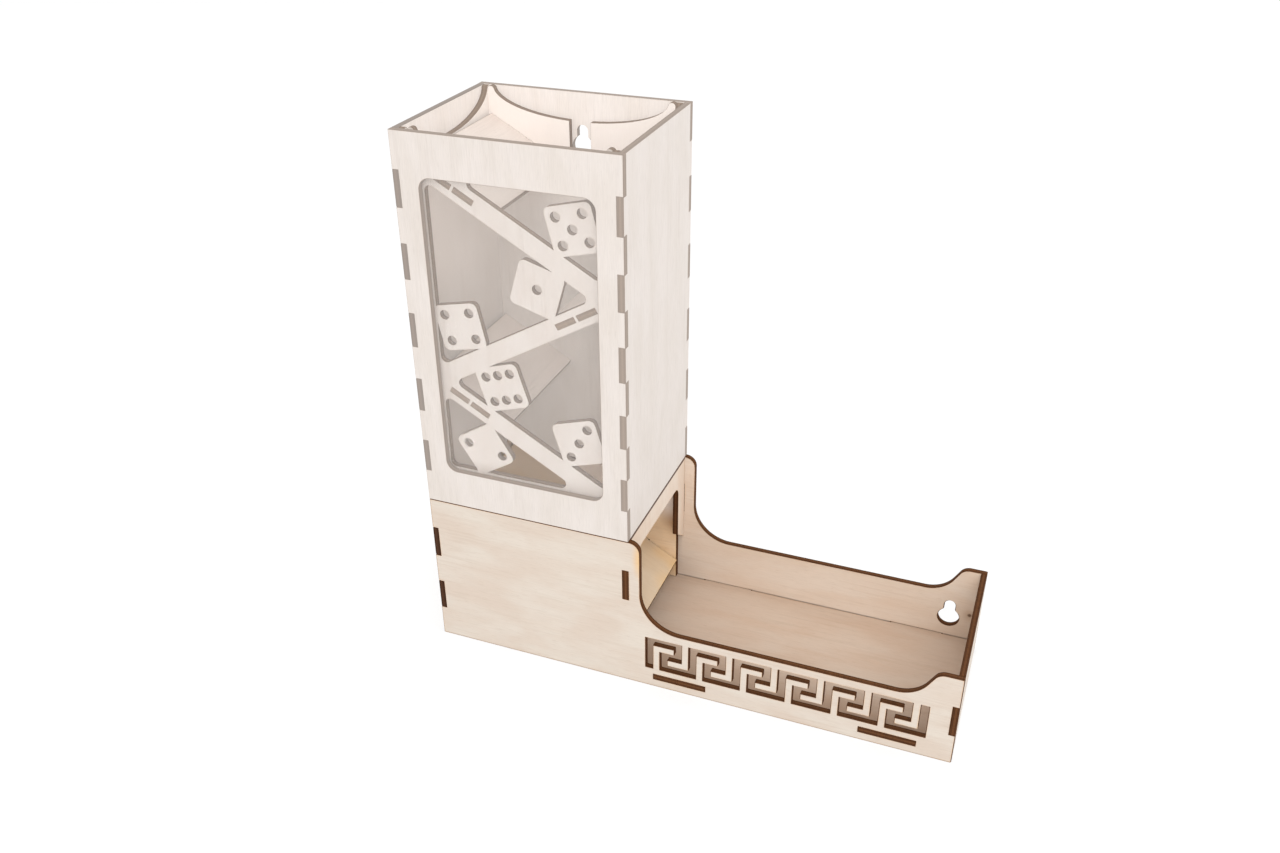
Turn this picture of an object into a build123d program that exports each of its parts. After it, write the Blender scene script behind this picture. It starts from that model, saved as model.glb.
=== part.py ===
from build123d import *
import math
import os

# Modular dice tower cut from birch plywood: a base unit with a roll-out tray, and a tumbling
# chamber that stacks on it. Tabs on one sheet fill notches or slots in the next one.
# Millimetres. The origin is the centre of the footprint on the table; +X runs from the tower to
# the end of the tray, +Y to the back and +Z up.

# --- driving dimensions -------------------------------------------------------------------------

ply = 2.7
pane_thickness = 1.8
pane_play = 0.2

tower_width = 95.0
tower_depth = 76.0
base_height = 76.0
chamber_height = 166.0
base_length = 238.0
tray_rim_height = 31.2
tray_end_height = 45.0

# finger joints
tab_height = 15.0
tab_pitch = 30.0
chamber_tab_count = 5
base_tab_count = 2

# sides of the tray: a rounded shoulder beside the tower and an S-shaped rise to the end panel
shoulder_overhang = 5.2
shoulder_radius = 5.0
shoulder_sweep = 18.0
rise_foot = 18.1
rise_head = 10.1
rise_foot_radius = 14.0
rise_head_radius = 5.0

# tray floor and the tabs that hold it
floor_recess = 4.1
floor_tab_length = 24.0
floor_tab_xs = (-0.5, 91.7)

# exit arch between the tower and the tray; its legs end above the ramp in slanting feet
exit_width = 53.0
exit_height = 64.5
exit_radius = 4.5
leg_foot_outside = 30.5
leg_foot_inside = 37.0

# meander fret in the front of the tray, in square cells of one module
fret_module = 10.0 / 3.0
fret_left = -16.2
fret_bottom = 10.2
fret_units = 6
fret_unit_cells = 6
fret_rows = 5

# keyholes to hang the tower by
keyhole_radius = 4.8
keyhole_slot_width = 5.0
keyhole_rise = 6.8
tray_keyhole_x = 105.2
tray_keyhole_z = 17.1
chamber_keyhole_rise = 143.3
keyhole_notch_width = 9.6
keyhole_notch_drop = 6.5
keyhole_notch_radius = 2.0

# liners: a scooped top edge, and on the chamber a nose below that nests in the scoop underneath
scoop_depth = 11.5
side_scoop_half = 32.5
long_scoop_half = 39.2
nest_gap = 0.5
nest_side_gap = 0.8
side_tip_radius = 1.2
long_tip_radius = 1.4

# window in the front of the chamber
window_width = 73.0
window_height = 131.0
window_radius = 5.0
window_rise = 83.0
pane_height = 152.0

# half-width ramps in the chamber, alternating left and right
ramp_tilt = 30.0
ramp_length = 37.7
ramp_offset = 25.1
ramp_pitch = 46.7
ramp_mid_rise = 97.3
ramp_tab_length = 9.4
ramp_tab_web = 1.2

# ramp in the base that throws the dice out into the tray: how far its tip reaches under the arch
base_ramp_reach = 0.5
base_ramp_tip_z = 17.2
base_ramp_tab_pitch = 50.0
base_ramp_tab_length = 15.0

# decorative screen behind the window: three bands that follow the ramps, and six dice
screen_opening_width = 74.0
screen_opening_height = 131.8
screen_radius = 2.5
band_width = 8.4
die_size = 20.0
die_radius = 2.6
pip_radius = 2.1
pip_offset = 5.7

# --- positions worked out from them -------------------------------------------------------------

left = -base_length / 2
tray_end = base_length / 2
back = tower_depth / 2
same_place = 0.01
tower_right = left + tower_width
tower_x = left + tower_width / 2
chamber_z = base_height
top_z = base_height + chamber_height
floor_z = floor_recess + ply

inner_back = back - ply
inner_half_width = tower_width / 2 - ply
liner_front = inner_back - ply
liner_half_width = inner_half_width - ply
screen_front = -inner_back + pane_play + pane_thickness
screen_back = screen_front + ply

base_tab_z = base_height / 2
upper_base_tab_z = base_tab_z + tab_pitch / 2
chamber_tab_z = chamber_z + chamber_height / 2
end_tab_z = tray_end_height / 2
chamber_keyhole_z = chamber_z + chamber_keyhole_rise
window_z = chamber_z + window_rise

# ramps as (x, z, tilt) of the middle of the sheet
ramp_upper_at = (tower_x - ramp_offset, chamber_z + ramp_mid_rise + ramp_pitch, -ramp_tilt)
ramp_middle_at = (tower_x + ramp_offset, chamber_z + ramp_mid_rise, ramp_tilt)
ramp_lower_at = (tower_x - ramp_offset, chamber_z + ramp_mid_rise - ramp_pitch, -ramp_tilt)
chamber_ramps = (ramp_upper_at, ramp_middle_at, ramp_lower_at)

# the base ramp runs from the left liner to its tip
slope_sine = math.sin(math.radians(ramp_tilt))
slope_cosine = math.cos(math.radians(ramp_tilt))
base_ramp_left = left + 2 * ply
base_ramp_tip_x = tower_right - ply + base_ramp_reach
base_ramp_length = (base_ramp_tip_x - base_ramp_left - ply * slope_sine) / slope_cosine
base_ramp_x = (base_ramp_left + base_ramp_tip_x) / 2
base_ramp_z = base_ramp_tip_z + (base_ramp_length * slope_sine - ply * slope_cosine) / 2
base_ramp_at = (base_ramp_x, base_ramp_z, -ramp_tilt)

# pips of each face, in steps of pip_offset along the die's own sides
pip_corners = [(-1, -1), (-1, 1), (1, -1), (1, 1)]
pip_layouts = {
    1: [(0, 0)],
    2: [(-1, 1), (1, -1)],
    3: [(-1, -1), (0, 0), (1, 1)],
    4: pip_corners,
    5: pip_corners + [(0, 0)],
    6: pip_corners + [(0, -1), (0, 1)],
}

# dice in the screen as (value, x from the tower's middle, z above the chamber's foot, turn)
screen_dice = (
    (5, 24.9, 133.8, 14.0),
    (1, 8.9, 107.2, -17.0),
    (4, -26.6, 85.5, 12.0),
    (6, -9.5, 60.6, 17.0),
    (3, 24.5, 40.8, 17.0),
    (2, -19.6, 28.9, 32.0),
)


# --- sheets and shared outlines -----------------------------------------------------------------


def lengthwise_sheet(y_back):
    """Sketch plane of an upright sheet along X; the sheet is extruded forwards from y_back."""
    return Plane.XZ.offset(-y_back)


def crosswise_sheet(x_left):
    """Sketch plane of an upright sheet along Y; the sheet is extruded to the right from x_left."""
    return Plane.YZ.offset(x_left)


def tab_column(across, z_mid, width, count, mode):
    """A column of finger-joint tabs, or of the notches they fill."""
    with Locations((across, z_mid)):
        with GridLocations(width, tab_pitch, 1, count):
            Rectangle(width, tab_height, mode=mode)


def keyhole(x, z):
    """Round hole for a screw head, with a narrow slot above it."""
    with Locations((x, z), (x, z + keyhole_rise)):
        Circle(keyhole_slot_width / 2, mode=Mode.SUBTRACT)
    with Locations((x, z + keyhole_rise / 2)):
        Rectangle(keyhole_slot_width, keyhole_rise, mode=Mode.SUBTRACT)
    with Locations((x, z)):
        Circle(keyhole_radius, mode=Mode.SUBTRACT)


def liner_outline(middle, width, bottom, top, scoop_half):
    """Upright liner whose top edge is scooped out by half an ellipse."""
    with Locations((middle, (bottom + top) / 2)):
        Rectangle(width, top - bottom)
    with Locations((middle, top)):
        Ellipse(scoop_half, scoop_depth, mode=Mode.SUBTRACT)


def liner_nose(middle, scoop_half):
    """Half ellipse below a chamber liner, which sinks into the scoop of the liner underneath."""
    with Locations((middle, chamber_z)):
        Ellipse(scoop_half - nest_side_gap, scoop_depth - nest_gap)


def round_tips(liner, along, radius):
    """Round the narrow tips that the scoop leaves at the top of a liner."""
    tips = liner.edges().filter_by(along).group_by(Axis.Z)[-1]
    fillet(tips, radius)


def ramp_tabs(at, tab_length, pitch, mode):
    """Two tabs on each edge of a ramp, or the slots in a liner that hold them."""
    x, z, tilt = at
    with Locations(Location((x, z, 0), (0, 0, tilt))):
        with GridLocations(pitch, ply, 2, 1):
            Rectangle(tab_length, ply, mode=mode)


def chamber_ramp_tabs(at, mode):
    """Tabs of a chamber ramp, with a thin web of the liner between them."""
    ramp_tabs(at, ramp_tab_length, ramp_tab_length + ramp_tab_web, mode)


def base_ramp_tabs(mode):
    """Tabs of the long ramp in the base."""
    ramp_tabs(base_ramp_at, base_ramp_tab_length, base_ramp_tab_pitch, mode)


def tray_side(profile):
    """Outline of the long base panels, with the notches and slots that both of them have."""
    shoulder_x = tower_right + shoulder_overhang
    foot_x = tray_end - rise_foot
    head_x = tray_end - rise_head
    Polygon(
        (left, 0),
        (left, base_height),
        (shoulder_x, base_height),
        (shoulder_x, tray_rim_height),
        (foot_x, tray_rim_height),
        (head_x, tray_end_height),
        (tray_end, tray_end_height),
        (tray_end, 0),
        align=None,
    )
    rounded_corners = (
        ((shoulder_x, base_height), shoulder_radius),
        ((shoulder_x, tray_rim_height), shoulder_sweep),
        ((foot_x, tray_rim_height), rise_foot_radius),
        ((head_x, tray_end_height), rise_head_radius),
    )
    for corner, radius in rounded_corners:
        fillet(profile.vertices().sort_by_distance(corner)[0], radius)
    tab_column(left + ply / 2, base_tab_z, ply, base_tab_count, Mode.SUBTRACT)
    tab_column(tower_right - ply / 2, upper_base_tab_z, ply, 1, Mode.SUBTRACT)
    tab_column(tray_end - ply / 2, end_tab_z, ply, 1, Mode.SUBTRACT)
    with Locations(*[(x, floor_z - ply / 2) for x in floor_tab_xs]):
        Rectangle(floor_tab_length, ply, mode=Mode.SUBTRACT)


def fret_bar(unit, first_column, last_column, first_row, last_row):
    """One straight bar of the fret's groove, in cells counted from the unit's lower left."""
    x = fret_left + (unit * fret_unit_cells + first_column) * fret_module
    z = fret_bottom + first_row * fret_module
    length = (last_column - first_column + 1) * fret_module
    height = (last_row - first_row + 1) * fret_module
    with Locations((x, z)):
        Rectangle(length, height, align=(Align.MIN, Align.MIN), mode=Mode.SUBTRACT)


def meander_fret():
    """Continuous meander: each unit climbs, hooks back on itself and runs on to the next."""
    top_row = fret_rows - 1
    middle_row = top_row // 2
    for unit in range(fret_units):
        fret_bar(unit, 0, 0, 0, top_row)
        fret_bar(unit, 0, 4, top_row, top_row)
        fret_bar(unit, 4, 4, middle_row, top_row)
        fret_bar(unit, 2, 4, middle_row, middle_row)
        fret_bar(unit, 2, 2, 0, middle_row)
        fret_bar(unit, 2, fret_unit_cells, 0, 0)
    fret_bar(fret_units, 0, 0, 0, top_row)


# --- base unit ----------------------------------------------------------------------------------

with BuildPart() as base_front_panel:
    with BuildSketch(lengthwise_sheet(-inner_back)) as front_profile:
        tray_side(front_profile)
        meander_fret()
    extrude(amount=ply)

with BuildPart() as base_back_panel:
    with BuildSketch(lengthwise_sheet(back)) as back_profile:
        tray_side(back_profile)
        keyhole(tray_keyhole_x, tray_keyhole_z)
    extrude(amount=ply)

with BuildPart() as base_left_panel:
    with BuildSketch(crosswise_sheet(left)):
        with Locations((0, base_height / 2)):
            Rectangle(2 * inner_back, base_height)
        tab_column(0, base_tab_z, tower_depth, base_tab_count, Mode.ADD)
    extrude(amount=ply)

with BuildPart() as tray_end_panel:
    with BuildSketch(crosswise_sheet(tray_end - ply)):
        with Locations((0, tray_end_height / 2)):
            Rectangle(2 * inner_back, tray_end_height)
        tab_column(0, end_tab_z, tower_depth, 1, Mode.ADD)
    extrude(amount=ply)

with BuildPart() as tray_floor:
    with BuildSketch(Plane.XY.offset(floor_recess)):
        Rectangle(base_length - 2 * ply, 2 * inner_back)
        with Locations(*[(x, 0) for x in floor_tab_xs]):
            Rectangle(floor_tab_length, tower_depth)
    extrude(amount=ply)

with BuildPart() as exit_divider:
    with BuildSketch(crosswise_sheet(tower_right - ply)) as divider_profile:
        with Locations((0, (leg_foot_outside + base_height) / 2)):
            Rectangle(2 * inner_back, base_height - leg_foot_outside)
        tab_column(0, upper_base_tab_z, tower_depth, 1, Mode.ADD)
        Polygon(
            (-inner_back, leg_foot_outside),
            (-exit_width / 2, leg_foot_inside),
            (-exit_width / 2, exit_height),
            (exit_width / 2, exit_height),
            (exit_width / 2, leg_foot_inside),
            (inner_back, leg_foot_outside),
            align=None,
            mode=Mode.SUBTRACT,
        )
        arch_corners = divider_profile.vertices().filter_by(
            lambda v: abs(v.Y - exit_height) < same_place
        )
        fillet(arch_corners, exit_radius)
    extrude(amount=ply)

with BuildPart() as base_ramp:
    with BuildSketch(lengthwise_sheet(liner_front)):
        with Locations((base_ramp_x, base_ramp_z)):
            Rectangle(base_ramp_length, ply, rotation=-ramp_tilt)
    extrude(amount=2 * liner_front)
    with BuildSketch(lengthwise_sheet(inner_back)):
        base_ramp_tabs(Mode.ADD)
    extrude(amount=2 * inner_back)


def make_long_base_liner(y_back):
    """Liner along the front or back wall of the base, slotted for the ramp's tabs."""
    liner_left = left + 2 * ply
    liner_right = tower_right - ply
    with BuildPart() as liner:
        with BuildSketch(lengthwise_sheet(y_back)):
            with Locations(((liner_left + liner_right) / 2, (floor_z + base_height) / 2)):
                Rectangle(liner_right - liner_left, base_height - floor_z)
            with Locations((tower_x, base_height)):
                Ellipse(long_scoop_half, scoop_depth, mode=Mode.SUBTRACT)
            base_ramp_tabs(Mode.SUBTRACT)
        extrude(amount=ply)
        round_tips(liner, Axis.Y, long_tip_radius)
    return liner


base_front_liner = make_long_base_liner(-liner_front)
base_back_liner = make_long_base_liner(inner_back)

with BuildPart() as base_left_liner:
    with BuildSketch(crosswise_sheet(left + ply)):
        liner_outline(0, 2 * inner_back, floor_z, base_height, side_scoop_half)
    extrude(amount=ply)
    round_tips(base_left_liner, Axis.X, side_tip_radius)


# --- tumbling chamber ---------------------------------------------------------------------------


def chamber_long_panel():
    """Outline shared by the front and back of the chamber, notched down both edges."""
    with Locations((tower_x, chamber_tab_z)):
        Rectangle(tower_width, chamber_height)
    for edge_x in (left + ply / 2, tower_right - ply / 2):
        tab_column(edge_x, chamber_tab_z, ply, chamber_tab_count, Mode.SUBTRACT)


with BuildPart() as chamber_front_panel:
    with BuildSketch(lengthwise_sheet(-inner_back)):
        chamber_long_panel()
        with Locations((tower_x, window_z)):
            RectangleRounded(window_width, window_height, window_radius, mode=Mode.SUBTRACT)
    extrude(amount=ply)

with BuildPart() as chamber_back_panel:
    with BuildSketch(lengthwise_sheet(back)):
        chamber_long_panel()
        keyhole(tower_x, chamber_keyhole_z)
    extrude(amount=ply)


def make_chamber_side_panel(x_left):
    """Side wall of the chamber, with tabs through the front and back panels."""
    with BuildPart() as panel:
        with BuildSketch(crosswise_sheet(x_left)):
            with Locations((0, chamber_tab_z)):
                Rectangle(2 * inner_back, chamber_height)
            tab_column(0, chamber_tab_z, tower_depth, chamber_tab_count, Mode.ADD)
        extrude(amount=ply)
    return panel


def make_chamber_side_liner(x_left):
    """Liner on a side wall of the chamber, scooped on top and with a nose below."""
    with BuildPart() as liner:
        with BuildSketch(crosswise_sheet(x_left)):
            liner_outline(0, 2 * inner_back, chamber_z, top_z, side_scoop_half)
            liner_nose(0, side_scoop_half)
        extrude(amount=ply)
        round_tips(liner, Axis.X, side_tip_radius)
    return liner


def make_chamber_ramp(at, y_front):
    """Half-width sloping ramp that turns the dice over, tabbed into the screen and back liner."""
    x, z, tilt = at
    with BuildPart() as ramp:
        with BuildSketch(lengthwise_sheet(liner_front)):
            with Locations((x, z)):
                Rectangle(ramp_length, ply, rotation=tilt)
        extrude(amount=liner_front - y_front)
        with BuildSketch(lengthwise_sheet(inner_back)):
            chamber_ramp_tabs(at, Mode.ADD)
        extrude(amount=inner_back - y_front + ply)
    return ramp


chamber_left_panel = make_chamber_side_panel(left)
chamber_right_panel = make_chamber_side_panel(tower_right - ply)
chamber_left_liner = make_chamber_side_liner(left + ply)
chamber_right_liner = make_chamber_side_liner(tower_right - 2 * ply)
ramp_upper = make_chamber_ramp(ramp_upper_at, screen_back)
ramp_middle = make_chamber_ramp(ramp_middle_at, screen_back)
ramp_lower = make_chamber_ramp(ramp_lower_at, screen_back)

with BuildPart() as chamber_back_liner:
    with BuildSketch(lengthwise_sheet(inner_back)) as back_liner_profile:
        liner_outline(tower_x, 2 * liner_half_width, chamber_z, top_z, long_scoop_half)
        liner_nose(tower_x, long_scoop_half)
        notch_foot = chamber_keyhole_z - keyhole_notch_drop
        with Locations((tower_x, (notch_foot + top_z) / 2)):
            Rectangle(keyhole_notch_width, top_z - notch_foot, mode=Mode.SUBTRACT)
        notch_corners = back_liner_profile.vertices().filter_by(
            lambda v: abs(v.Y - notch_foot) < same_place
        )
        fillet(notch_corners, keyhole_notch_radius)
        for ramp_at in chamber_ramps:
            chamber_ramp_tabs(ramp_at, Mode.SUBTRACT)
    extrude(amount=ply)
    round_tips(chamber_back_liner, Axis.Y, long_tip_radius)

with BuildPart() as window_pane:
    with BuildSketch(lengthwise_sheet(screen_front - pane_play / 2)):
        with Locations((tower_x, chamber_z + pane_height / 2)):
            Rectangle(2 * liner_half_width, pane_height)
    extrude(amount=pane_thickness)


def screen_band(at):
    """Sloping band across the screen, wide enough to carry one ramp's slots."""
    x, z, tilt = at
    slope = math.tan(math.radians(tilt))
    half_height = band_width / 2 / slope_cosine
    reach = (screen_opening_width / 2 + liner_half_width) / 2
    left_x = tower_x - reach
    right_x = tower_x + reach
    left_z = z + slope * (left_x - x)
    right_z = z + slope * (right_x - x)
    Polygon(
        (left_x, left_z - half_height),
        (right_x, right_z - half_height),
        (right_x, right_z + half_height),
        (left_x, left_z + half_height),
        align=None,
    )


def screen_die(value, x, z, turn):
    """Silhouette of one die, with its pips cut through."""
    with Locations(Location((tower_x + x, chamber_z + z, 0), (0, 0, turn))):
        RectangleRounded(die_size, die_size, die_radius)
        with Locations(*[(pip_offset * i, pip_offset * j) for i, j in pip_layouts[value]]):
            Circle(pip_radius, mode=Mode.SUBTRACT)


with BuildPart() as dice_screen:
    with BuildSketch(lengthwise_sheet(screen_back)) as screen_profile:
        liner_outline(tower_x, 2 * liner_half_width, chamber_z, top_z, long_scoop_half)
        liner_nose(tower_x, long_scoop_half)
        with Locations((tower_x, window_z)):
            Rectangle(screen_opening_width, screen_opening_height, mode=Mode.SUBTRACT)
        for ramp_at in chamber_ramps:
            screen_band(ramp_at)
        opening_corners = screen_profile.vertices().filter_by(
            lambda v: abs(v.X - tower_x) < screen_opening_width / 2 + same_place
            and abs(v.Y - window_z) < screen_opening_height / 2 + same_place
        )
        fillet(opening_corners, screen_radius)
        for die in screen_dice:
            screen_die(*die)
        for ramp_at in chamber_ramps:
            chamber_ramp_tabs(ramp_at, Mode.SUBTRACT)
    extrude(amount=ply)
    round_tips(dice_screen, Axis.Y, long_tip_radius)


# --- files --------------------------------------------------------------------------------------

pieces = {
    "base_front_panel": base_front_panel,
    "base_back_panel": base_back_panel,
    "base_left_panel": base_left_panel,
    "tray_end_panel": tray_end_panel,
    "tray_floor": tray_floor,
    "exit_divider": exit_divider,
    "base_ramp": base_ramp,
    "base_front_liner": base_front_liner,
    "base_back_liner": base_back_liner,
    "base_left_liner": base_left_liner,
    "chamber_front_panel": chamber_front_panel,
    "chamber_back_panel": chamber_back_panel,
    "chamber_left_panel": chamber_left_panel,
    "chamber_right_panel": chamber_right_panel,
    "window_pane": window_pane,
    "dice_screen": dice_screen,
    "chamber_back_liner": chamber_back_liner,
    "chamber_left_liner": chamber_left_liner,
    "chamber_right_liner": chamber_right_liner,
    "ramp_upper": ramp_upper,
    "ramp_middle": ramp_middle,
    "ramp_lower": ramp_lower,
}

os.makedirs("parts", exist_ok=True)
for name, piece in pieces.items():
    piece.part.label = name
    export_step(piece.part, f"parts/{name}.step")
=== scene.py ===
"""Looks of the plywood dice tower: laser-cut birch, a clear pane, soft light and a pale floor.

The CAD solids are shown as they are. Each sheet gets its own plywood and a fine flat along its
edges, and the pane gets clear acrylic. Colours and lights were set together by comparing renders
with the photograph, so they are matched looks and not measured wood colours.
"""

import math
from collections import namedtuple

import bpy
from mathutils import Matrix, Vector


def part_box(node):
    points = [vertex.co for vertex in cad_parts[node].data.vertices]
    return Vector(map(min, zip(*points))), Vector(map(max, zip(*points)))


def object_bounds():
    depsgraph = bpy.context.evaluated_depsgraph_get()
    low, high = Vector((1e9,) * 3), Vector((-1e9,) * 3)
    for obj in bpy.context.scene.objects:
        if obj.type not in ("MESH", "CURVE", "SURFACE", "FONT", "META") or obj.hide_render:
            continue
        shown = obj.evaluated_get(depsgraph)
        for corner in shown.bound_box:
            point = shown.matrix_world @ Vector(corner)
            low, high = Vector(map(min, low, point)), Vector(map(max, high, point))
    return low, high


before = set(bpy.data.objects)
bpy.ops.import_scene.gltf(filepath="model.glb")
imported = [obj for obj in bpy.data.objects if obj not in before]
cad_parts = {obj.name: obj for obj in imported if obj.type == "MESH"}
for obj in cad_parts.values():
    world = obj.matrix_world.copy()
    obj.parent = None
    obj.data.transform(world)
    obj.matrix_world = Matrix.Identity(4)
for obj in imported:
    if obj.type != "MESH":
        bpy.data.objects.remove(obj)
cad_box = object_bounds()

MM = 0.001
PLY = 2.7 * MM

# --- directions of the sheets -------------------------------------------------------------------

X_AXIS = Vector((1, 0, 0))
Y_AXIS = Vector((0, 1, 0))
Z_AXIS = Vector((0, 0, 1))
RAMP_TILT = math.radians(30)
DOWN_RIGHT = Vector((math.cos(RAMP_TILT), 0, -math.sin(RAMP_TILT)))
UP_RIGHT = Vector((math.cos(RAMP_TILT), 0, math.sin(RAMP_TILT)))

# node: (palette, across the sheet's thickness, along its face grain)
SHEETS = {
    "base_front_panel": ("base", Y_AXIS, X_AXIS),
    "base_back_panel": ("base_inside", Y_AXIS, X_AXIS),
    "base_left_panel": ("base_left", X_AXIS, Y_AXIS),
    "tray_end_panel": ("base", X_AXIS, Y_AXIS),
    "tray_floor": ("base_floor", Z_AXIS, X_AXIS),
    "exit_divider": ("divider", X_AXIS, Z_AXIS),
    "base_ramp": ("exit", Y_AXIS.cross(DOWN_RIGHT), DOWN_RIGHT),
    "base_front_liner": ("exit", Y_AXIS, X_AXIS),
    "base_back_liner": ("exit_back", Y_AXIS, X_AXIS),
    "base_left_liner": ("exit", X_AXIS, Y_AXIS),
    "chamber_front_panel": ("chamber", Y_AXIS, Z_AXIS),
    "chamber_back_panel": ("chamber_wall", Y_AXIS, Z_AXIS),
    "chamber_left_panel": ("chamber_left", X_AXIS, Z_AXIS),
    "chamber_right_panel": ("chamber", X_AXIS, Z_AXIS),
    "dice_screen": ("chamber_screen", Y_AXIS, Z_AXIS),
    "chamber_back_liner": ("chamber_inside", Y_AXIS, Z_AXIS),
    "chamber_left_liner": ("chamber_inside", X_AXIS, Z_AXIS),
    "chamber_right_liner": ("chamber_inside", X_AXIS, Z_AXIS),
    "ramp_upper": ("ramp", Y_AXIS.cross(DOWN_RIGHT), Y_AXIS),
    "ramp_middle": ("ramp", Y_AXIS.cross(UP_RIGHT), Y_AXIS),
    "ramp_lower": ("ramp", Y_AXIS.cross(DOWN_RIGHT), Y_AXIS),
}

# --- colours of the plywood ---------------------------------------------------------------------


def tone(red, green, blue):
    """Linear colour of a displayed one, given as 0 to 255."""
    return tuple(((v / 255 + 0.055) / 1.055) ** 2.4 for v in (red, green, blue)) + (1.0,)


# What the sheets of a group share: how strongly the fibre shows, the colours of the cut (charred
# outer plies, core and glue lines), how much scorch lies beside the cut, the width of the flat
# along sharp edges, and the painted glow: an even light that the sheets give off, painted light
# that makes the tower look paler.
BASE_SHEET = {
    "fibre": 0.035,
    "char": tone(78, 46, 23),
    "core": tone(96, 60, 34),
    "glue": tone(42, 25, 12),
    "scorch_share": 0.8,
    "arris": 0.3 * MM,
    "veil": 0.0,
}
TOWER_SHEET = {
    "fibre": 0.07,
    "char": tone(92, 70, 50),
    "core": tone(107, 85, 66),
    "glue": tone(76, 55, 37),
    "scorch_share": 0.3,
    "arris": 0.2 * MM,
    "veil": 0.26,
}
INNER_TOWER_SHEET = {
    "fibre": 0.05,
    "char": tone(100, 77, 56),
    "core": tone(116, 94, 74),
    "glue": tone(82, 60, 41),
    "scorch_share": 0.3,
    "arris": 0.2 * MM,
    "veil": 0.15,
}
# tint of the painted glow, the even light that the tower's sheets give off
PAINTED_GLOW_TINT = tone(255, 251, 247)


def palette_of(shared, light, dark, fleck, scorch, **changes):
    """A group's palette with its own veneer, broad figure, flecks and scorch."""
    veneer = {"light": tone(*light), "dark": tone(*dark), "fleck": tone(*fleck)}
    return {**shared, **veneer, "scorch": tone(*scorch), **changes}


# lit and shaded copies of one birch, their brightness set for the light that reaches each place
# name: what its group shares, then the light and dark veneer, the fleck and the scorch
PALETTES = {
    "base": palette_of(
        BASE_SHEET, (205, 195, 183), (197, 180, 165), (168, 144, 121), (208, 155, 86),
        scorch_share=0.85),
    # painted shade: a darker copy for the tray floor
    "base_floor": palette_of(
        BASE_SHEET, (199, 179, 161), (193, 166, 144), (156, 131, 108), (188, 146, 92)),
    # painted light: a lighter copy for the walls inside the base
    "base_inside": palette_of(
        BASE_SHEET, (220, 205, 190), (214, 192, 172), (184, 156, 130), (214, 172, 114)),
    "exit": palette_of(
        BASE_SHEET, (216, 196, 171), (210, 185, 153), (182, 151, 118), (222, 180, 118)),
    "chamber": palette_of(
        TOWER_SHEET, (178, 169, 163), (169, 159, 150), (138, 123, 110), (170, 149, 124)),
    "chamber_wall": palette_of(
        TOWER_SHEET, (206, 197, 191), (198, 187, 178), (166, 151, 138), (194, 174, 150)),
    "chamber_inside": palette_of(
        INNER_TOWER_SHEET, (188, 179, 172), (180, 169, 160), (150, 136, 123), (184, 164, 139)),
    "chamber_screen": palette_of(
        INNER_TOWER_SHEET, (188, 180, 174), (181, 170, 162), (152, 137, 124), (178, 158, 134),
        veil=0.14),
}


def vary(name, **changes):
    """The named palette with some of its entries changed."""
    return {**PALETTES[name], **changes}


PALETTES["divider"] = vary("base_inside", arris=0.1 * MM)
# painted light: a lighter copy for the back of the exit
PALETTES["exit_back"] = vary("exit", light=tone(238, 214, 184), dark=tone(232, 202, 166))
PALETTES["ramp"] = vary("chamber_inside", light=tone(200, 188, 179), dark=tone(193, 178, 168))
PALETTES["base_left"] = vary("base", char=tone(62, 38, 24), core=tone(74, 47, 31))
PALETTES["chamber_left"] = vary("chamber_wall", char=tone(76, 58, 43), core=tone(90, 71, 56))


# --- shader nodes -------------------------------------------------------------------------------


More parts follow.
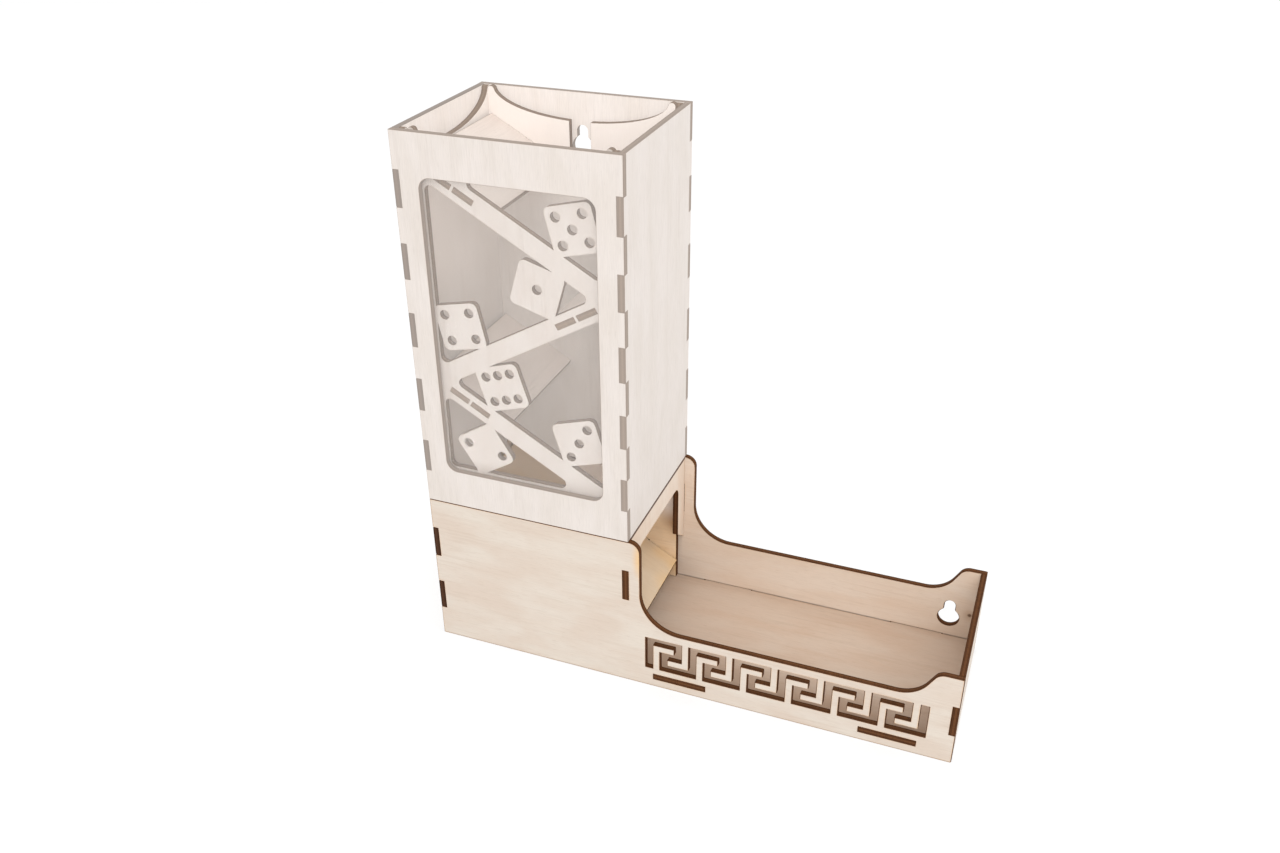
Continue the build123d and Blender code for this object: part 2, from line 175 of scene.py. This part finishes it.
class Shader:
    """One material's node tree. Each call adds a node and returns it or its output."""

    def __init__(self, name):
        self.material = bpy.data.materials.new(name)
        self.material.use_nodes = True
        self.tree = self.material.node_tree
        self.tree.nodes.clear()

    def add(self, kind, **settings):
        node = self.tree.nodes.new("ShaderNode" + kind)
        for key, value in settings.items():
            setattr(node, key, value)
        return node

    def feed(self, socket, value):
        """Set a socket, or link another node's output to it."""
        if isinstance(value, bpy.types.NodeSocket):
            self.tree.links.new(value, socket)
        else:
            socket.default_value = value

    def feed_all(self, sockets, values):
        for socket, value in zip(sockets, values):
            self.feed(socket, value)

    def math(self, operation, *values):
        node = self.add("Math", operation=operation)
        self.feed_all(node.inputs, values)
        return node.outputs[0]

    def vector(self, operation, *values):
        node = self.add("VectorMath", operation=operation)
        self.feed_all(node.inputs, values)
        return node.outputs["Vector"]

    def dot(self, vector, direction):
        node = self.add("VectorMath", operation="DOT_PRODUCT")
        self.feed_all(node.inputs, (vector, direction))
        return node.outputs["Value"]

    def length(self, vector):
        node = self.add("VectorMath", operation="LENGTH")
        self.feed(node.inputs[0], vector)
        return node.outputs["Value"]

    def noise(self, place, cell, detail=2.0, roughness=0.5, distortion=0.0):
        """Noise whose cells measure cell = (along, across, through), in metres."""
        node = self.add("TexNoise")
        stretched = self.vector("MULTIPLY", place, tuple(1 / size for size in cell))
        self.feed(node.inputs["Vector"], stretched)
        self.feed(node.inputs["Scale"], 1.0)
        self.feed(node.inputs["Detail"], detail)
        self.feed(node.inputs["Roughness"], roughness)
        self.feed(node.inputs["Distortion"], distortion)
        return node.outputs[0]

    def between(self, value, low, high, out_low=0.0, out_high=1.0):
        """Smooth step from out_low at low to out_high at high."""
        node = self.add("MapRange", interpolation_type="SMOOTHSTEP")
        self.feed_all(node.inputs, (value, low, high, out_low, out_high))
        return node.outputs[0]

    def mix(self, factor, first, second, blend_type="MIX"):
        """Mix of two colours."""
        node = self.add("Mix", data_type="RGBA", blend_type=blend_type)
        self.feed_all((node.inputs[0], node.inputs[6], node.inputs[7]), (factor, first, second))
        return node.outputs[2]

    def blend(self, factor, first, second):
        """Mix of two numbers."""
        node = self.add("Mix", data_type="FLOAT")
        self.feed_all((node.inputs[0], node.inputs[2], node.inputs[3]), (factor, first, second))
        return node.outputs[0]

    def grey(self, value):
        node = self.add("CombineColor")
        self.feed_all(node.inputs, (value, value, value))
        return node.outputs[0]

    def bump(self, height, distance, strength):
        node = self.add("Bump")
        self.feed(node.inputs["Height"], height)
        self.feed(node.inputs["Distance"], distance)
        self.feed(node.inputs["Strength"], strength)
        return node.outputs["Normal"]

    def surface(self, **values):
        """Principled shader into the material's output. Returns the finished material."""
        shader = self.add("BsdfPrincipled")
        for name, value in values.items():
            self.feed(shader.inputs[name.replace("_", " ")], value)
        output = self.add("OutputMaterial")
        self.tree.links.new(shader.outputs[0], output.inputs["Surface"])
        return self.material


# --- birch plywood ------------------------------------------------------------------------------

# cells of the noise in the wood: along the grain, across it, and through the sheet
FIGURE_CELL = (34 * MM, 11 * MM, 9 * MM)
FADING_CELL = (45 * MM, 14 * MM, 9 * MM)
RING_CELL = (48 * MM, 1.5 * MM, 9 * MM)
FLECK_CELL = (4.5 * MM, 0.34 * MM, 9 * MM)
FIBRE_CELL = (7 * MM, 0.3 * MM, 9 * MM)
STRIATION_CELL = (0.32 * MM, 0.32 * MM, 6 * MM)
CHAR_PATCH_CELL = (7 * MM, 7 * MM, 9 * MM)
SMOKE_CELL = (16 * MM, 16 * MM, 9 * MM)

RING_OFFSET = (0.31, 0.17, 0.0)
MOST_FLECK = 0.25
FLECK_ROUGHNESS = (0.52, 0.66)
CUT_ROUGHNESS = 0.82
CUT_SPECULAR, FACE_SPECULAR = 0.12, 0.5
BUMP_HEIGHT, BUMP_STRENGTH = 0.05 * MM, 0.35

# depths in the cut, from the middle of the sheet and in parts of its thickness
CORE_EDGE = (0.19, 0.23)
GLUE_DEPTH = 0.21
GLUE_HALF = (0.015, 0.045)

SCORCH_RADIUS = 1.5 * MM
SCORCH_BEND = (0.74, 0.995)
FACE_TURN = (0.95, 0.99)


def birch_face(shader, place, palette):
    """Colour, roughness and fibre height of a rotary-cut birch veneer."""
    tint = shader.noise(place, FIGURE_CELL, detail=4.0, distortion=0.4)
    fading = shader.noise(place, FADING_CELL)
    apart = shader.vector("ADD", place, RING_OFFSET)
    ring_field = shader.noise(apart, RING_CELL, detail=3.0, distortion=0.5)
    ring = shader.between(ring_field, 0.52, 0.62)
    fleck_field = shader.noise(place, FLECK_CELL)
    fleck = shader.between(fleck_field, 0.58, 0.74)
    fibre = shader.noise(place, FIBRE_CELL, detail=3.0, roughness=0.65)

    tint_share = shader.between(tint, 0.30, 0.70, 0.1, 0.8)
    colour = shader.mix(tint_share, palette["light"], palette["dark"])
    ring_share = shader.math("MULTIPLY", ring, shader.between(fading, 0.35, 0.7, 0.02, 0.16))
    colour = shader.mix(ring_share, colour, palette["fleck"])
    fleck_share = shader.math("MULTIPLY", fleck, MOST_FLECK)
    colour = shader.mix(fleck_share, colour, palette["fleck"])
    darkest, brightest = 1 - palette["fibre"], 1 + 0.7 * palette["fibre"]
    shade = shader.between(fibre, 0.3, 0.7, darkest, brightest)
    colour = shader.mix(1.0, colour, shader.grey(shade), blend_type="MULTIPLY")
    roughness = shader.between(fleck_field, 0.3, 0.8, *FLECK_ROUGHNESS)
    return colour, roughness, fibre


def cut_edge(shader, place, depth, palette):
    """Colour and height of a laser-cut edge: plies, glue lines and the beam's striations."""
    streak = shader.noise(place, STRIATION_CELL, roughness=0.6)
    patch = shader.noise(place, CHAR_PATCH_CELL)
    from_middle = shader.math("ABSOLUTE", depth)
    in_core = shader.between(from_middle, *CORE_EDGE, 1.0, 0.0)
    off_glue = shader.math("ABSOLUTE", shader.math("SUBTRACT", from_middle, GLUE_DEPTH))
    on_glue = shader.between(off_glue, *GLUE_HALF, 0.75, 0.0)
    colour = shader.mix(in_core, palette["char"], palette["core"])
    colour = shader.mix(shader.between(patch, 0.35, 0.7, 0.0, 0.4), colour, palette["core"])
    colour = shader.mix(shader.between(streak, 0.45, 0.75, 0.0, 0.55), colour, palette["glue"])
    colour = shader.mix(on_glue, colour, palette["glue"])
    return colour, streak


def scorch_beside_cut(shader, place, normal, palette):
    """Share of the scorch colour: highest at a cut and gone a little way in, patchy all along."""
    rounded = shader.add("Bevel", samples=6)
    shader.feed(rounded.inputs["Radius"], SCORCH_RADIUS)
    bend = shader.math("ABSOLUTE", shader.dot(rounded.outputs[0], normal))
    near_cut = shader.between(bend, *SCORCH_BEND, 1.0, 0.0)
    smoke = shader.noise(place, SMOKE_CELL)
    share = shader.math("MULTIPLY", near_cut, palette["scorch_share"])
    return shader.math("MULTIPLY", share, shader.between(smoke, 0.3, 0.6, 0.35))


def add_marks(shader, position, colour, marks):
    """Stains and painted light and shade over a colour, each full to its core, gone at its radius.
    """
    for each_mark in marks:
        from_centre = shader.vector("SUBTRACT", position, each_mark.centre)
        reach = shader.length(shader.vector("MULTIPLY", from_centre, each_mark.stretch))
        spot = shader.between(reach, each_mark.core, each_mark.radius, each_mark.share, 0.0)
        colour = shader.mix(spot, colour, each_mark.colour)
    return colour


def plywood(name, palette, normal, grain, centre, seed, marks=()):
    """Birch plywood sheet: pale veneer on its faces, a charred cut all round, scorch beside it."""
    shader = Shader(name)
    position = shader.add("TexCoord").outputs["Object"]
    true_normal = shader.add("NewGeometry").outputs["True Normal"]

    through = shader.dot(shader.vector("SUBTRACT", position, centre), normal)
    depth = shader.math("DIVIDE", through, PLY)
    local = shader.add("CombineXYZ")
    along = shader.dot(position, grain)
    across = shader.dot(position, normal.cross(grain))
    shader.feed_all(local.inputs, (along, across, through))
    place = shader.vector("ADD", local.outputs[0], seed)

    face_colour, face_roughness, fibre = birch_face(shader, place, palette)
    cut_colour, streak = cut_edge(shader, place, depth, palette)
    scorch_share = scorch_beside_cut(shader, place, normal, palette)
    face_colour = shader.mix(scorch_share, face_colour, palette["scorch"])
    face_colour = add_marks(shader, position, face_colour, marks)

    facing = shader.math("ABSOLUTE", shader.dot(true_normal, normal))
    on_face = shader.between(facing, *FACE_TURN)
    height = shader.blend(on_face, streak, fibre)
    return shader.surface(
        Base_Color=shader.mix(on_face, cut_colour, face_colour),
        Roughness=shader.blend(on_face, CUT_ROUGHNESS, face_roughness),
        Specular_IOR_Level=shader.between(on_face, 0.0, 1.0, CUT_SPECULAR, FACE_SPECULAR),
        Normal=shader.bump(height, BUMP_HEIGHT, BUMP_STRENGTH),
        # painted glow: the sheet gives off an even light of its own, painted light that makes the
        # tower paler
        Emission_Color=PAINTED_GLOW_TINT,
        Emission_Strength=palette["veil"],
    )


# --- stains, painted light and painted shade ----------------------------------------------------

Mark = namedtuple("Mark", "centre stretch radius core colour share")

# how a mark lies along the axes: round, an upright oval, drawn out along X, or a level band
ROUND = (1.0, 1.0, 1.0)
UPRIGHT = (2.6, 1.0, 0.8)
ALONG_X = (0.0, 1.0, 1.0)
LEVEL = (0.0, 0.0, 1.0)

SMOKE = tone(224, 180, 112)
# painted shade on the tray floor behind the front wall
PAINTED_SHADE_BROWN = tone(128, 92, 60)
DARK_TAN = tone(160, 112, 66)
# dark brown: painted contact shadows, painted shade at the tray floor's joint, the divider's top
# band
DARK_BROWN = tone(76, 46, 26)
SINGED = tone(218, 172, 104)
DARK_KNOT = tone(92, 62, 42)
KNOT_HALO = tone(176, 143, 114)
# painted light for the tops of the linings
PAINTED_LIGHT = tone(240, 230, 223)

KNOT_FROM_END = 4.6 * MM
KNOT_HEIGHT = 20.5 * MM
SHOULDER_OVERHANG = 5.2 * MM
SHOULDER_DROP = 8 * MM


def exit_smoke_and_spot():
    """Smoke from the laser round the foot of the base ramp, at the back of the exit, and a darker
    spot above it.
    """
    low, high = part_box("base_ramp")
    back = high.y - 2 * PLY
    foot = Vector((high.x, back, low.z))
    return (
        # a darker brown spot on the back lining above the ramp's foot
        Mark(foot + Z_AXIS * 27 * MM, ROUND, 12 * MM, 3 * MM, DARK_TAN, 0.7),
        Mark(foot, ROUND, 10 * MM, 1 * MM, SMOKE, 0.6),
        Mark(foot - DOWN_RIGHT * 10 * MM, ROUND, 7 * MM, 1 * MM, SMOKE, 0.35),
        Mark(foot - DOWN_RIGHT * 26 * MM, ROUND, 9 * MM, 1 * MM, SMOKE, 0.6),
        Mark(foot - Y_AXIS * 16 * MM, ROUND, 10 * MM, 1 * MM, SMOKE, 0.4),
    )


def painted_light_top(name, reach, core, share):
    """A lining painted lighter toward its top: painted light where light falls in from above."""
    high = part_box(name)[1]
    return (Mark(high, LEVEL, reach, core, PAINTED_LIGHT, share),)


def back_wall_shade_and_knot():
    """A dark line of painted shade where the tray floor meets the wall, and a pin knot behind the
    keyhole.
    """
    low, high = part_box("base_back_panel")
    knot = Vector((high.x - KNOT_FROM_END, low.y, low.z + KNOT_HEIGHT))
    joint = Vector((low.x, low.y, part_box("tray_floor")[1].z))
    return (
        # painted shade in the crease along the tray floor
        Mark(joint, ALONG_X, 0.6 * MM, 0.25 * MM, DARK_BROWN, 0.5),
        Mark(knot, ROUND, 4.5 * MM, 0.5 * MM, KNOT_HALO, 0.55),
        Mark(knot, ROUND, 1.3 * MM, 0.4 * MM, DARK_KNOT, 0.9),
    )


def floor_painted_shade():
    """Painted shade along the front of the tray floor, behind the front wall with its fret cut in
    it.
    """
    low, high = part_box("tray_floor")
    front = Vector((low.x, low.y + PLY, high.z))
    return (Mark(front, ALONG_X, 24 * MM, 3 * MM, PAINTED_SHADE_BROWN, 0.5),)


def shoulder_singe():
    """Singed wood beside the rounded shoulder of the tray's side, next to the tower."""
    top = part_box("base_front_panel")[1].z
    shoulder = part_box("exit_divider")[1].x + SHOULDER_OVERHANG
    corner = Vector((shoulder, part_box("base_front_panel")[0].y, top - SHOULDER_DROP))
    return (Mark(corner, UPRIGHT, 11 * MM, 1 * MM, SINGED, 0.65),)


def painted_contact_shadow(name):
    """Painted contact shadow: a dark line along the bottom of a wall, where it stands on the
    floor.
    """
    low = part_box(name)[0]
    return (Mark(low, LEVEL, 0.5 * MM, 0.2 * MM, DARK_BROWN, 0.6),)


def divider_dark_rim():
    """A dark band along the top of the exit divider, right under the tower."""
    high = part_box("exit_divider")[1]
    return (Mark(high, LEVEL, 1.4 * MM, 1.0 * MM, DARK_BROWN, 1.0),)


MARKS_BY_SHEET = {
    "tray_floor": floor_painted_shade(),
    "base_front_panel": painted_contact_shadow("base_front_panel") + shoulder_singe(),
    "tray_end_panel": painted_contact_shadow("tray_end_panel"),
    "base_ramp": exit_smoke_and_spot(),
    "base_back_liner": exit_smoke_and_spot() + painted_light_top("base_back_liner", 38 * MM, 26 * MM, 1.0),
    "base_back_panel": back_wall_shade_and_knot(),
    "exit_divider": divider_dark_rim(),
    "chamber_back_liner": painted_light_top("chamber_back_liner", 64 * MM, 23 * MM, 0.62),
    "chamber_left_liner": painted_light_top("chamber_left_liner", 120 * MM, 23 * MM, 0.5),
}


# --- sheets -------------------------------------------------------------------------------------

# how far apart in the noise two sheets that follow each other in SHEETS are, in metres
SEED_ALONG, SEED_ACROSS = 0.73, 0.41
MERGE_DISTANCE = 0.001 * MM
FLAT_ANGLE = math.radians(1)
SHARP_ANGLE = math.radians(40)


def break_arrises(sheet, width):
    """Narrow flat along every sharp edge, so that a joint of two sheets shows as a dark line."""
    join = sheet.modifiers.new("join", "WELD")
    join.merge_threshold = MERGE_DISTANCE
    flatten = sheet.modifiers.new("flatten", "DECIMATE")
    flatten.decimate_type = "DISSOLVE"
    flatten.angle_limit = FLAT_ANGLE
    arris = sheet.modifiers.new("arris", "BEVEL")
    arris.width = width
    arris.segments = 1
    arris.limit_method = "ANGLE"
    arris.angle_limit = SHARP_ANGLE


def dress(name, material):
    """Give a node's visible piece its material, and return the piece."""
    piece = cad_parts[name]
    for material_slot in piece.material_slots:
        material_slot.material = material
    return piece


def dress_sheets():
    for index, (name, (palette_name, normal, grain)) in enumerate(SHEETS.items()):
        low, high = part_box(name)
        centre = (low + high) / 2
        seed = Vector((SEED_ALONG * index, SEED_ACROSS * index, 0.0))
        palette = PALETTES[palette_name]
        marks = MARKS_BY_SHEET.get(name, ())
        material = plywood("birch_" + name, palette, normal, grain, centre, seed, marks)
        break_arrises(dress(name, material), palette["arris"])


# --- clear pane ---------------------------------------------------------------------------------

ACRYLIC_IOR = 1.49
ACRYLIC = tone(246, 239, 233)
SMEAR_CELL = (30 * MM, 30 * MM, 55 * MM)
FACE_HAZE = (0.05, 0.07)
FACE_POLISH = (0.05, 0.12)
MIRROR_SHARE = 0.9
CUT_OPACITY = 0.55
PANE_TURN = (0.90, 0.97)


def clear_sheet(name):
    """Acrylic with a faint haze, which its cut edges show much more of than its faces."""
    shader = Shader(name)
    position = shader.add("TexCoord").outputs["Object"]
    geometry = shader.add("NewGeometry")
    facing = shader.math("ABSOLUTE", shader.dot(geometry.outputs["True Normal"], Y_AXIS))
    on_face = shader.between(facing, *PANE_TURN)
    smear = shader.noise(position, SMEAR_CELL, detail=3.0)
    # light isn't bent on its way through, so it meets both faces of the sheet as if from outside
    inverted = 1 / ACRYLIC_IOR - ACRYLIC_IOR
    index = shader.math("MULTIPLY_ADD", geometry.outputs["Backfacing"], inverted, ACRYLIC_IOR)
    fresnel = shader.add("Fresnel")
    shader.feed(fresnel.inputs["IOR"], index)
    haze = shader.between(smear, 0.3, 0.7, *FACE_HAZE)
    mirror = shader.math("MULTIPLY", fresnel.outputs[0], MIRROR_SHARE)
    opacity = shader.math("MAXIMUM", haze, mirror)
    return shader.surface(
        Base_Color=ACRYLIC,
        Roughness=shader.between(smear, 0.3, 0.7, *FACE_POLISH),
        IOR=index,
        Alpha=shader.blend(on_face, CUT_OPACITY, opacity),
    )


# --- stage --------------------------------------------------------------------------------------

FLOOR_HALF = 30.0
FLOOR_TONES = tone(160, 160, 160), tone(163, 163, 163)
FLOOR_CELL = (0.4, 0.4, 0.4)
FLOOR_GLOW = 0.6
WHITE = (1.0, 1.0, 1.0, 1.0)

TENT_HORIZON, TENT_TOP = 1.0, 1.35

EYE = Vector((0.12634, -0.41227, 0.36637))
EYE_AZIMUTH, EYE_ELEVATION, EYE_ROLL = 21.123, 30.130, -0.359
SENSOR_WIDTH, LENS = 36.0, 33.108
CLIP_START, CLIP_END = 0.01, 50.0


def out_toward(azimuth, elevation):
    """Direction of a camera or light from the object: azimuth 0 in front, 90 at its right."""
    a, e = math.radians(azimuth), math.radians(elevation)
    return Vector((math.sin(a) * math.cos(e), -math.cos(a) * math.cos(e), math.sin(e)))


def pale_floor():
    """Plain pale floor that the object stands on, lit a little from within like a light table."""
    mesh = bpy.data.meshes.new("floor")
    corners = ((-1, -1), (1, -1), (1, 1), (-1, 1))
    mesh.from_pydata(
        [(FLOOR_HALF * x, FLOOR_HALF * y, cad_box[0].z) for x, y in corners], [], [(0, 1, 2, 3)]
    )
    floor = bpy.data.objects.new("floor", mesh)
    bpy.context.scene.collection.objects.link(floor)
    shader = Shader("pale_floor")
    position = shader.add("TexCoord").outputs["Object"]
    mottle = shader.noise(position, FLOOR_CELL)
    material = shader.surface(
        Base_Color=shader.mix(mottle, *FLOOR_TONES),
        Roughness=0.9,
        Emission_Color=WHITE,
        Emission_Strength=FLOOR_GLOW,
    )
    mesh.materials.append(material)


def light_tent():
    """World light: a white tent, brightest overhead, so that light reaches down into the tower."""
    world = bpy.data.worlds.new("light_tent")
    world.use_nodes = True
    bpy.context.scene.world = world
    tree = world.node_tree
    tree.nodes.clear()
    direction = tree.nodes.new("ShaderNodeTexCoord")
    split = tree.nodes.new("ShaderNodeSeparateXYZ")
    strength = tree.nodes.new("ShaderNodeMapRange")
    background = tree.nodes.new("ShaderNodeBackground")
    output = tree.nodes.new("ShaderNodeOutputWorld")
    strength.inputs["To Min"].default_value = TENT_HORIZON
    strength.inputs["To Max"].default_value = TENT_TOP
    tree.links.new(direction.outputs["Generated"], split.inputs[0])
    tree.links.new(split.outputs["Z"], strength.inputs["Value"])
    tree.links.new(strength.outputs[0], background.inputs["Strength"])
    tree.links.new(background.outputs[0], output.inputs["Surface"])


def soft_light(name, azimuth, elevation, distance, size, power):
    """Square area light that faces the middle of the object."""
    middle = (cad_box[0] + cad_box[1]) / 2
    back = out_toward(azimuth, elevation)
    data = bpy.data.lights.new(name, "AREA")
    data.size = size
    data.energy = power
    light = bpy.data.objects.new(name, data)
    light.location = middle + back * distance
    light.rotation_euler = back.to_track_quat("Z", "Y").to_euler()
    bpy.context.scene.collection.objects.link(light)


def camera():
    """Camera in front of the object, to the right of it and above, as solved from the photo."""
    back = out_toward(EYE_AZIMUTH, EYE_ELEVATION)
    azimuth, roll = math.radians(EYE_AZIMUTH), math.radians(EYE_ROLL)
    right = Vector((math.cos(azimuth), math.sin(azimuth), 0))
    up = back.cross(right)
    rolled_right = right * math.cos(roll) + up * math.sin(roll)
    rolled_up = up * math.cos(roll) - right * math.sin(roll)
    turn = Matrix((rolled_right, rolled_up, back)).transposed()
    data = bpy.data.cameras.new("camera")
    data.sensor_width = SENSOR_WIDTH
    data.lens = LENS
    data.clip_start = CLIP_START
    data.clip_end = CLIP_END
    eye = bpy.data.objects.new("camera", data)
    eye.matrix_world = Matrix.Translation(EYE) @ turn.to_4x4()
    bpy.context.scene.collection.objects.link(eye)
    bpy.context.scene.camera = eye


dress_sheets()
dress("window_pane", clear_sheet("clear_pane"))
pale_floor()
light_tent()
soft_light("key", azimuth=14, elevation=33, distance=1.5, size=1.0, power=11.5)
soft_light("fill", azimuth=95, elevation=30, distance=1.6, size=1.0, power=6.0)
camera()
bpy.context.scene.view_settings.view_transform = "Standard"
